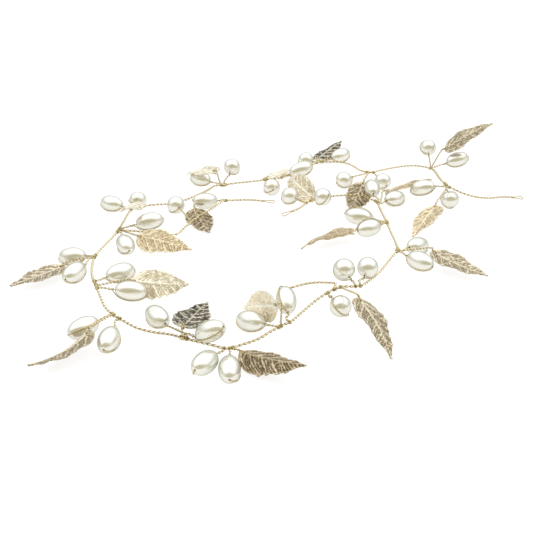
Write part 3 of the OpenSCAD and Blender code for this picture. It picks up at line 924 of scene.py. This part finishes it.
@dataclass
class PearlBead:
    """One drilled pearl and the wire that holds it."""

    kind: Pearl
    center: Array
    spot: Array
    strand_along: Array
    loop_angle: float
    bore_r: float = 0.34
    # The mouth's radius in bore radii, and rows of the lip's radius in the same and its depth under the mouth
    mouth: float = 1.25
    lip: tuple = ((1.06, 0.06), (1.0, 0.16), (1.0, 1.2))
    round_points: int = 56
    profile_points: int = 34
    # Share of the upright past which a bore counts as steep
    steep: float = 0.9
    # How far the stem's last two points lie before the pearl, and the bore's wire before and past it
    stem_end: tuple = (1.2, 0.5)
    bore_ends: tuple = (0.8, 0.2)
    # The way back: gaps, first and last angle, and its last points' distances before the pearl and beside it
    wire_gap: float = 0.13
    end_gap: float = 0.1
    loop_turn: tuple = (24.0, 152.0)
    loop_points: int = 9
    loop_end: tuple = ((0.9, 0.45), (2.0, 0.3))

    def __post_init__(self) -> None:
        """Works out the pearl's own directions: along its bore, towards the viewer and up."""
        self.length, self.width, self.power = self.kind.value
        self.axis = unit(self.center - self.spot)
        level = np.cross(self.axis, UP)
        self.toward = unit(-level if level[1] > 0 else level)
        self.high = square_to(UP, self.axis)

    def body(self, skin: Skin) -> None:
        """Adds the pearl: a rounded profile turned about the bore, which closes through the bore.

        The profile is half the width times a power of the cosine, and half the length times the sine, of an
        angle from one mouth of the bore to the other. Its ends turn in over the lip to the bore's wall.

        Args:
            skin: the mesh that takes it.
        """
        mouth = np.arccos((self.bore_r * self.mouth / (self.width / 2)) ** (1 / self.power))
        g = np.linspace(-mouth, mouth, self.profile_points)
        radius = self.width / 2 * np.cos(g) ** self.power
        height = self.length / 2 * np.sin(g)
        wide, sunk = np.array(self.lip).T
        lip, end = self.bore_r * wide, height[-1] - sunk
        radius = np.concatenate([lip[::-1], radius, lip])
        height = np.concatenate([-end[::-1], height, end])
        turn = np.linspace(0, 2 * np.pi, self.round_points, endpoint=False)
        side = square_to(UP if abs(self.axis[2]) < self.steep else np.array([1.0, 0, 0]), self.axis)
        over = np.cross(self.axis, side)
        out = np.cos(turn)[:, None] * side + np.sin(turn)[:, None] * over
        points = self.center + height[:, None, None] * self.axis + radius[:, None, None] * out[None]
        n, k = len(radius), self.round_points
        i, j = np.meshgrid(np.arange(n), np.arange(k), indexing="ij")
        up, on = (i + 1) % n, (j + 1) % k
        quads = np.stack([i * k + j, i * k + on, up * k + on, up * k + j], axis=-1)
        places = np.stack([np.repeat(height, k), np.tile(turn, n)], axis=1)
        skin.add(points.reshape(-1, 3), quads, np.zeros((0, 3), int), places, np.zeros(n * k))

    def wire(self, skin: Skin, strand: TwistedStrand, gauge: Gauge, seed: int) -> None:
        """Adds the coil, the twisted stem, and the wire through the bore and back over the pearl's side.

        The way back is part of an oval about the pearl's middle: half the length and the gaps, times the
        cosine of an angle, along the bore, and half the width and the gap, times its sine, beside it.

        Args:
            skin: the mesh that takes them.
            strand: the strand that carries the pearl.
            gauge: the wires' sizes.
            seed: start of the stem's sways.
        """
        a, c, half = self.axis, self.center, self.length / 2
        near = laid_out(c, [(-half - gap,) for gap in self.stem_end], a)
        strand.stem(skin, self.spot, self.strand_along, square_to(a, self.strand_along), near, seed)
        turn = np.radians(self.loop_angle)
        b = np.cos(turn) * self.toward + np.sin(turn) * self.high
        below, above = self.bore_ends
        through = laid_out(c, [(-half - below,), (-half / 2,), (0,), (half / 2,), (half + above,)], a)
        out = gauge.stem_wire_r + self.wire_gap
        g = np.radians(np.linspace(*self.loop_turn, self.loop_points))[:, None]
        over = c + (half + out + self.end_gap) * np.cos(g) * a + (self.width / 2 + out) * np.sin(g) * b
        home = laid_out(c, [(-half - gap, beside) for gap, beside in self.loop_end], a, b)
        path = smooth_through(np.concatenate([through, over, home]), gauge.step)
        skin.tube(path, gauge.stem_wire_r, gauge.stem_sides, np.cross(a, b))


class Layer(Enum):
    """Layers of a leaf's unevenness: cells a millimetre along and across, their shifts, and a seed."""

    BEND = (1 / 2.9, 1 / 2.3, 7, 11, 0)
    COARSE = (1.1, 1.3, 0, 0, 1)
    FINE = (2.6, 2.6, 0, 0, 2)
    NICKS = (9 / LEAF_LENGTH, 1.0, 0, 0, 3)
    JITTER = (1 / 1.1, 1 / 0.9, 0, 5, 4)
    STRENGTH = (0.6, 0.6, 0, 3, 5)


@dataclass
class PressedLeaf:
    """One leaf pressed from sheet, with a midrib, curved side veins, a long tip and a hole for its wire."""

    base: Array
    heading: float
    tilt: float
    roll: float
    bend: float
    fall: float
    seed: int
    # Outline
    length: float = LEAF_LENGTH
    width: float = 12.2
    thickness: float = 0.4
    swell_at: float = 0.6
    swell_power: float = 0.8
    taper: float = 0.3
    neck: float = 0.085
    # Midrib: height, half width, and how that starts and shrinks to the tip
    rib: float = 0.36
    rib_half: float = 0.4
    rib_start: float = 1.1
    rib_taper: float = 0.6
    rib_fade: float = 0.5
    # Side veins, and the high one of each lobe
    vein: float = 0.16
    vein_gap: float = 1.5
    vein_slant: float = 0.7
    vein_curve: float = 0.06
    vein_bend: float = 0.6
    vein_jitter: float = 0.2
    vein_power: float = 2.2
    vein_strength: float = 0.6
    left_lag: float = 1.4
    veins_a_lobe: int = 3
    lobe_power: float = 7.0
    # Heights as shares of a vein's
    side_rise: float = 1.6
    lobe_rise: float = 1.3
    sheet_sink: float = 0.7
    # Painted shade on the sheet's finish, and the painted light that makes what stands out of it lighter
    sheet_painted_shade: float = 0.75
    side_painted_light: float = 0.7
    lobe_painted_light: float = 0.5
    crumple_painted_light: float = 0.6
    # Crumples, and waves of the margin
    crumple: float = 0.2
    coarse_share: float = 0.55
    wave: float = 0.4
    waves: float = 2.4
    wave_step: float = 0.3
    wave_lag: float = 1.9
    calm_end: float = 0.125
    # Where the relief fades out: beside the midrib, at the margin and at the base
    plain_rib: float = 0.1
    margin: float = 1.02
    plain_margin: float = 0.13
    plain_base: float = 0.12
    # Teeth and nicks of the rim
    tooth: float = 0.07
    tooth_lag: float = 0.5
    tooth_start: float = 1 / 6
    nick: float = 0.035
    smooth_base: float = 0.15
    # Hole, and the round rings about it
    hole_at: float = 0.07
    hole_half: float = 0.62
    hole_cell: float = 0.6
    collar: float = 2.2
    # Net of the mesh
    crowding: float = 1.15
    rows: int = 141
    columns: int = 47
    crease: float = 50.0
    under_shift: float = 40.0

    def __post_init__(self) -> None:
        """Works out the leaf's own directions: along the midrib at its middle, across it, and over it."""
        h, t, r = np.radians([self.heading, self.tilt, self.roll])
        self.along = np.array([np.cos(t) * np.cos(h), np.cos(t) * np.sin(h), np.sin(t)])
        level = np.array([-np.sin(h), np.cos(h), 0.0])
        square = np.cross(self.along, level)
        self.across = np.cos(r) * level + np.sin(r) * square
        self.over = np.cos(r) * square - np.sin(r) * level

    def half(self, f: Array) -> Array:
        """Half the leaf's width at a fraction of its length.

        It is half the width times a power of the sine of pi times a power of the fraction, which swells
        before the middle, less a share that grows with the fraction's cube. It is nowhere under the neck's
        share of half the width.

        Args:
            f: fraction of the length.

        Returns:
            The half width.
        """
        swell = np.maximum(np.sin(np.pi * np.clip(f, 0, 1) ** self.swell_at), 0) ** self.swell_power
        return self.width / 2 * np.maximum(swell * (1 - self.taper * f**3), self.neck)

    def at(self, f: Array, x: Array, lift: Array) -> Array:
        """Points of the leaf.

        The midrib is an arc whose direction turns evenly by the bend from base to tip. A point lies x across
        it on a side that falls by the fold's angle, and the lift over it.

        Args:
            f: fraction of the length.
            x: distance across the midrib, negative to its right.
            lift: height over the sheet's middle.

        Returns:
            The points.
        """
        turn = np.radians(self.bend) * (f - 0.5)
        if self.bend == 0:
            ahead, above = self.length * f, np.zeros_like(f)
        else:
            k, half_bend = self.length / np.radians(self.bend), np.radians(self.bend) / 2
            ahead, above = k * (np.sin(turn) + np.sin(half_bend)), k * (np.cos(half_bend) - np.cos(turn))
        fold = np.radians(self.fall)
        up = lift - np.abs(x) * np.sin(fold)
        return (
            self.base
            + (ahead - up * np.sin(turn))[..., None] * self.along
            + (x * np.cos(fold))[..., None] * self.across
            + (above + up * np.cos(turn))[..., None] * self.over
        )

    def uneven(self, layer: Layer, y: Array, x: Array) -> Array:
        """The leaf's unevenness in one of its layers, from -1 to 1.

        Args:
            layer: the layer.
            y: distance along the midrib.
            x: distance across it.

        Returns:
            The value at each place.
        """
        along, across, ahead, aside, step = layer.value
        return mottle(y * along + ahead, x * across + aside, self.seed + step)

    def vein_phase(self, y: Array, x: Array) -> Array:
        """Number of the side vein at a place, counted along the midrib.

        It is the distance along the leaf, less a share of the distance across that rises towards the margin,
        over the gap between two veins. Slow unevenness bends the veins, and the left side's start later.

        Args:
            y: distance along the midrib.
            x: distance across it, negative to its right.

        Returns:
            The number, whole on a vein.
        """
        side = np.abs(x)
        bend, jitter = self.uneven(Layer.BEND, y, x), self.uneven(Layer.JITTER, y, x)
        bent = self.vein_bend * bend + self.vein_jitter * jitter
        ahead = y - self.vein_slant * side - self.vein_curve * side**2 + bent
        return ahead / self.vein_gap + np.where(x > 0, self.left_lag, 0.0)

    def relief(self, f: Array, x: Array) -> tuple[Array, Array]:
        """Height of the pressed relief, and the painted shade of each place in it.

        The midrib is a narrow ridge that fades to the tip. The side veins are sharp ridges where their number
        is whole, stronger in some places than in others, and each lobe of the leaf has one high vein. Fine
        unevenness lies between them. Everything but the midrib fades out beside it, at the margin and at the
        base. The margin waves up and down, except at the base and the tip.

        Args:
            f: fraction of the length.
            x: distance across the midrib.

        Returns:
            Height in millimetres, and painted shade from 0 to 1.
        """
        y, side = f * self.length, np.abs(x)
        share = np.clip(side / self.half(f), 0, 1)
        phase = self.vein_phase(y, x)
        strong = self.vein_strength + (1 - self.vein_strength) * self.uneven(Layer.STRENGTH, y, x)
        ridge = strong * crest(phase, self.vein_power)
        high = crest(phase / self.veins_a_lobe, self.lobe_power)
        inner, outer = rise(share, self.plain_rib), rise(self.margin - share, self.plain_margin)
        fade = inner * outer * rise(f, self.plain_base)
        rib_half = self.rib_half * (self.rib_start - self.rib_taper * f)
        midrib = np.exp(-((side / rib_half) ** 2)) * (1 - self.rib_fade * f)
        coarse, fine = self.uneven(Layer.COARSE, y, x), self.uneven(Layer.FINE, y, x)
        crumple = (self.coarse_share * coarse + (1 - self.coarse_share) * fine) * (1 - midrib)
        veins = self.vein * (self.side_rise * ridge + self.lobe_rise * high - self.sheet_sink)
        angle = 2 * np.pi * (self.waves * f + self.wave_step * self.seed) + np.where(x > 0, self.wave_lag, 0)
        calm = rise(f - self.plain_base, self.calm_end) * rise(1 - f, self.calm_end)
        wave = self.wave * share**2 * np.sin(angle) * calm
        # Painted shade: darkest on the sheet, lighter on the veins and on raised crumples, fading out beside
        # the midrib, at the margin and at the base
        dark = (self.sheet_painted_shade - self.side_painted_light * ridge - self.lobe_painted_light * high) * fade * (1 - midrib)
        height = self.rib * midrib + (veins + self.crumple * crumple) * fade + wave
        return height, np.clip(dark - self.crumple_painted_light * crumple, 0, 1)

    def grid(self) -> tuple[Array, Array, Array]:
        """The leaf's net of places with a round hole near its base.

        Columns crowd towards the midrib, and the rim has low teeth, one a lobe, and small nicks. Near the
        hole the square rings of the net are pushed onto round ones, and the cells inside the innermost are
        left out.

        Returns:
            Fraction of the length, distance across, and which cells are kept.
        """
        f = np.linspace(0, 1, self.rows)[:, None] * np.ones(self.columns)
        u = np.linspace(-1, 1, self.columns)[None, :] * np.ones((self.rows, 1))
        u = np.sign(u) * np.abs(u) ** self.crowding
        y, rim = f * self.length, self.half(f) * np.sign(u)
        lobe = self.vein_phase(y, rim) / self.veins_a_lobe
        teeth = self.tooth * np.cos(2 * np.pi * lobe + self.tooth_lag)
        ragged = teeth + self.nick * self.uneven(Layer.NICKS, y, rim)
        x = u * self.half(f) * (1 + ragged * rise(f - self.smooth_base, self.tooth_start))
        middle = self.hole_at * self.length
        ring = np.maximum(np.abs(x), np.abs(y - middle)) / self.hole_cell
        away = np.maximum(np.hypot(x, y - middle), TINY)
        pull = rise(self.collar - ring, self.collar - 1) ** 2
        round_x, round_y = x / away * self.hole_half * ring, (y - middle) / away * self.hole_half * ring
        cells = 0.25 * (ring[:-1, :-1] + ring[1:, :-1] + ring[:-1, 1:] + ring[1:, 1:]) > 1.0
        x = x + pull * (round_x - x)
        y = y + pull * (middle + round_y - y)
        return y / self.length, x, cells

    def build(self, name: str, material: Material) -> Thing:
        """Builds the leaf: the net above, the net below, and walls round its rim and its hole.

        Args:
            name: name of the object.
            material: its material.

        Returns:
            The finished object.
        """
        f, x, kept = self.grid()
        height, painted_shade = self.relief(f, x)
        n, half = f.size, self.thickness / 2
        i, j = np.nonzero(kept)
        a = i * self.columns + j
        cells = np.stack([a, a + self.columns, a + self.columns + 1, a + 1], axis=1)
        edges = np.concatenate([cells[:, [k, (k + 1) % 4]] for k in range(4)])
        rim = edges[~np.isin(edges[:, 0] * n + edges[:, 1], edges[:, 1] * n + edges[:, 0])]
        walls = np.stack([rim[:, 0], rim[:, 0] + n, rim[:, 1] + n, rim[:, 1]], axis=1)
        points = np.concatenate([self.at(f, x, height + side).reshape(-1, 3) for side in (half, -half)])
        places = np.stack([(f * self.length).ravel(), x.ravel()], axis=1)
        places = np.concatenate([places, places + [self.under_shift, 0.0]])
        quads = np.concatenate([cells[:, ::-1], cells + n, walls[:, ::-1]])
        used, again = np.unique(quads, return_inverse=True)
        skin = Skin()
        skin.add(
            points[used], again.reshape(quads.shape), np.zeros((0, 3), int), places[used],
            np.tile(painted_shade.ravel(), 2)[used],
        )
        return skin.piece(name, material, self.crease)


@dataclass
class LeafWire:
    """A leaf's wire: a stem to its base, and two wires side by side through the hole and back under it."""

    leaf: PressedLeaf
    spot: Array
    strand_along: Array
    via: Array
    # Distances from the hole along the leaf and over it, of the stem's last points and of the two wires
    stem_end: tuple = ((-3.2, 1.1), (-1.9, 0.9))
    bow: tuple = (
        (-2.1, 0.9), (-1.0, 0.85), (-0.25, 0.75), (0, 0), (-0.2, -0.55), (-1.2, -0.75), (-2.4, -0.75),
    )
    apart: float = 0.2
    # Share of the leaf's length over which its direction at the hole is taken
    ahead_by: float = 0.01

    def build(self, skin: Skin, strand: TwistedStrand, gauge: Gauge, seed: int) -> None:
        """Adds the stem and the two wires.

        Args:
            skin: the mesh that takes them.
            strand: the strand that carries the leaf.
            gauge: the wires' sizes.
            seed: start of the stem's sways.
        """
        leaf, zero = self.leaf, np.array(0.0)
        hole = leaf.at(np.array(leaf.hole_at), zero, zero)
        ahead = unit(leaf.at(np.array(leaf.hole_at + self.ahead_by), zero, zero) - hole)
        over = square_to(leaf.over, ahead)
        beside = np.cross(over, ahead)
        onward = np.concatenate([self.via, laid_out(hole, self.stem_end, ahead, over)])
        leave = square_to(onward[0] - self.spot, self.strand_along)
        strand.stem(skin, self.spot, self.strand_along, leave, onward, seed)
        for side in (-1, 1):
            bow = laid_out(hole, self.bow, ahead, over) + side * self.apart * beside
            skin.tube(smooth_through(bow, gauge.loop_step), gauge.stem_wire_r, gauge.stem_sides, beside)


@dataclass
class HairChain:
    """The whole vine: three strands, twenty sprigs of pearls and a leaf, and the wires that join them."""

    gauge: Gauge
    wire_finish: WireFinish
    leaf_finishes: dict[LitTone, LeafFinish]
    pearl_finish: PearlFinish
    sprigs_a_group: int = 5
    # The sprigs at which the side strand and the tail fork off, and the tail's distance from its sprig's knot
    side_sprig: int = 14
    tail_sprig: int = 7
    tail_slot: float = -2.4
    # Starts of the sways of the pearls' and the leaves' stems
    pearl_seed: int = 100
    leaf_seed: int = 200
    pearl_crease: float = 60.0

    def dress(self, thing: Thing, slot: str, *nodes: str) -> None:
        """Joins a finished piece to the frame.

        Args:
            thing: the piece.
            slot: the record's material slot; not used.
            nodes: the CAD nodes that it stands for.
        """
        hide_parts(*nodes)
        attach(thing, "root")
        LOG.info("%s stands for %s, %d faces", thing.name, ", ".join(nodes), len(thing.data.polygons))

    def fork(self, strand: TwistedStrand, sprig: int, slot: float = 0.0) -> tuple[Array, Array]:
        """Point and direction of a strand, a distance along it from a sprig's knot."""
        return strand.place(np.array(KNOTS[sprig - 1][1], float), slot)

    def build(self) -> None:
        """Builds the strands, then each sprig's pearls, leaf and wires."""
        wire, coat = self.wire_finish.material(), self.pearl_finish.material()
        sheets = {tone: finish.material() for tone, finish in self.leaf_finishes.items()}
        main_strand = TwistedStrand("main_strand", MAIN_ROUTE, self.gauge, first_eye=True)
        side_strand = TwistedStrand("side_strand", SIDE_ROUTE, self.gauge)
        tail = TwistedStrand("side_tail", TAIL_ROUTE, self.gauge)
        self.dress(main_strand.build(wire), "gold_wire", "main_strand")
        fork = self.fork(main_strand, self.side_sprig)
        self.dress(side_strand.build(wire, fork), "gold_wire", "side_strand")
        fork = self.fork(main_strand, self.tail_sprig, self.tail_slot)
        self.dress(tail.build(wire, fork), "gold_wire", "side_tail")
        strands = {Strand.MAIN: main_strand, Strand.SIDE: side_strand}
        for group in range(len(KNOTS) // self.sprigs_a_group):
            branches = Skin()
            for k in range(self.sprigs_a_group * group, self.sprigs_a_group * (group + 1)):
                on, knot = KNOTS[k]
                self.sprig(k + 1, strands[on], np.array(knot, float), branches, sheets, coat)
            thing = branches.piece(f"looped_branch_wires_{group + 1}", wire)
            self.dress(thing, "gold_wire", f"branch_wires_{group + 1}")

    def sprig(
        self, number: int, strand: TwistedStrand, knot: Array, branches: Skin,
        sheets: dict[LitTone, Material], coat: Material,
    ) -> None:
        """Builds one sprig's pearls and leaf, and adds their wires.

        Args:
            number: the sprig's number, from 1.
            strand: the strand that carries it.
            knot: where it sits.
            branches: the mesh that takes its wires.
            sheets: the leaves' materials.
            coat: the pearls' material.
        """
        beads = Skin()
        for k, (sprig, kind, slot, center, loop) in enumerate(PEARLS):
            if sprig == number:
                bead = PearlBead(kind, np.array(center, float), *strand.place(knot, slot), loop)
                bead.body(beads)
                bead.wire(branches, strand, self.gauge, self.pearl_seed + k)
        thing = beads.piece(f"drilled_pearls_{number:02d}", coat, self.pearl_crease)
        self.dress(thing, "pearl", f"pearls_{number:02d}")
        tone, slot, base, heading, tilt, roll, bend, fall, via = LEAVES[number - 1]
        leaf = PressedLeaf(np.array(base, float), heading, tilt, roll, bend, fall, seed=10 * number)
        wire = LeafWire(leaf, *strand.place(knot, slot), np.array(via, float).reshape(-1, 3))
        wire.build(branches, strand, self.gauge, self.leaf_seed + number)
        self.dress(leaf.build(f"pressed_leaf_{number:02d}", sheets[tone]), "gold_leaf", f"leaf_{number:02d}")


@dataclass
class Studio:
    """The camera, the white table and the soft light."""

    camera_at: tuple = (-10.0, -388.0, 166.6)
    pitch: float = 25.0
    lens: float = 65.31
    sensor: float = 36.0
    nearest: float = 0.01
    table: float = 4.0
    tent: tuple = (1.58, 1.63, 1.70)
    low: tuple = (0.40, 0.41, 0.38)
    tent_heights: tuple = (-0.05, 0.75)
    room: tuple = (0.40, 0.345, 0.13)
    open_side: tuple = (0.0, -0.978, -0.208)
    open_cosines: tuple = (0.12, 0.56)
    backdrop: tuple = WHITE

    def camera(self) -> None:
        """Sets the camera at the photograph's place and angle."""
        data = bpy.data.cameras.new("camera")
        data.lens = self.lens
        data.sensor_width = self.sensor
        data.clip_start = self.nearest
        thing = bpy.data.objects.new("camera", data)
        thing.location = (np.array(self.camera_at) + SHIFT) * MM
        thing.rotation_euler = (np.radians(90.0 - self.pitch), 0.0, 0.0)
        bpy.context.scene.collection.objects.link(thing)
        bpy.context.scene.camera = thing

    def floor(self, finish: TableFinish) -> None:
        """Lays the table under the vine.

        Args:
            finish: the table's finish.
        """
        half = self.table / 2
        corners = [(-half, -half, 0), (half, -half, 0), (half, half, 0), (-half, half, 0)]
        mesh = bpy.data.meshes.new("table_top")
        mesh.from_pydata(corners, [], [(0, 1, 2, 3)])
        mesh.materials.append(finish.material())
        thing = bpy.data.objects.new("table_top", mesh)
        bpy.context.scene.collection.objects.link(thing)

    def light(self) -> None:
        """Lights the scene from a white tent that is open towards the camera, where the room is dim.

        The room's share at a direction rises smoothly with the cosine of its angle from the tent's open side,
        and the tent's own brightness rises smoothly with the height above the horizon. The backdrop behind
        the table is plain white from every side.
        """
        world = bpy.data.worlds.new("studio")
        world.use_nodes = True
        bpy.context.scene.world = world
        tree = world.node_tree
        coords = tree.nodes.new("ShaderNodeTexCoord")
        toward = tree.nodes.new("ShaderNodeVectorMath")
        toward.operation = "DOT_PRODUCT"
        toward.inputs[1].default_value = self.open_side
        tree.links.new(coords.outputs["Generated"], toward.inputs[0])
        height = tree.nodes.new("ShaderNodeSeparateXYZ")
        tree.links.new(coords.outputs["Generated"], height.inputs[0])
        wall = self.blend(tree, height.outputs["Z"], self.tent_heights, self.low, self.tent)
        whole = self.blend(tree, toward.outputs["Value"], self.open_cosines, wall, self.room)
        rays = tree.nodes.new("ShaderNodeLightPath")
        behind = self.blend(tree, rays.outputs["Is Camera Ray"], (0.0, 1.0), whole, self.backdrop)
        tree.links.new(behind, tree.nodes["Background"].inputs["Color"])
        bpy.context.scene.view_settings.view_transform = "Standard"

    def blend(
        self, tree: bpy.types.NodeTree, value: Socket, ends: tuple,
        first: tuple | Socket, second: tuple | Socket,
    ) -> Socket:
        """Blends two colours smoothly as a value rises.

        Args:
            tree: the node tree that takes the nodes.
            value: the value's socket.
            ends: the values at which the blend starts and ends.
            first: colour before the blend, or its socket.
            second: colour after it, or its socket.

        Returns:
            The blended colour's socket.
        """
        edge = tree.nodes.new("ShaderNodeMapRange")
        edge.interpolation_type = "SMOOTHSTEP"
        edge.inputs["From Min"].default_value, edge.inputs["From Max"].default_value = ends
        tree.links.new(value, edge.inputs["Value"])
        mix = tree.nodes.new("ShaderNodeMix")
        mix.data_type = "RGBA"
        share, under, upper, blended = mix.inputs[0], mix.inputs[6], mix.inputs[7], mix.outputs[2]
        tree.links.new(edge.outputs["Result"], share)
        for socket, color in ((under, first), (upper, second)):
            if isinstance(color, tuple):
                socket.default_value = opaque(color)
            else:
                tree.links.new(color, socket)
        return blended


def main() -> None:
    """Builds the studio and the vine."""
    logging.basicConfig(level=logging.INFO, format="%(message)s")
    studio = Studio()
    studio.camera()
    studio.floor(TableFinish())
    studio.light()
    HairChain(Gauge(), WireFinish(), LEAF_FINISHES, PearlFinish()).build()


if __name__ == "__main__":
    main()
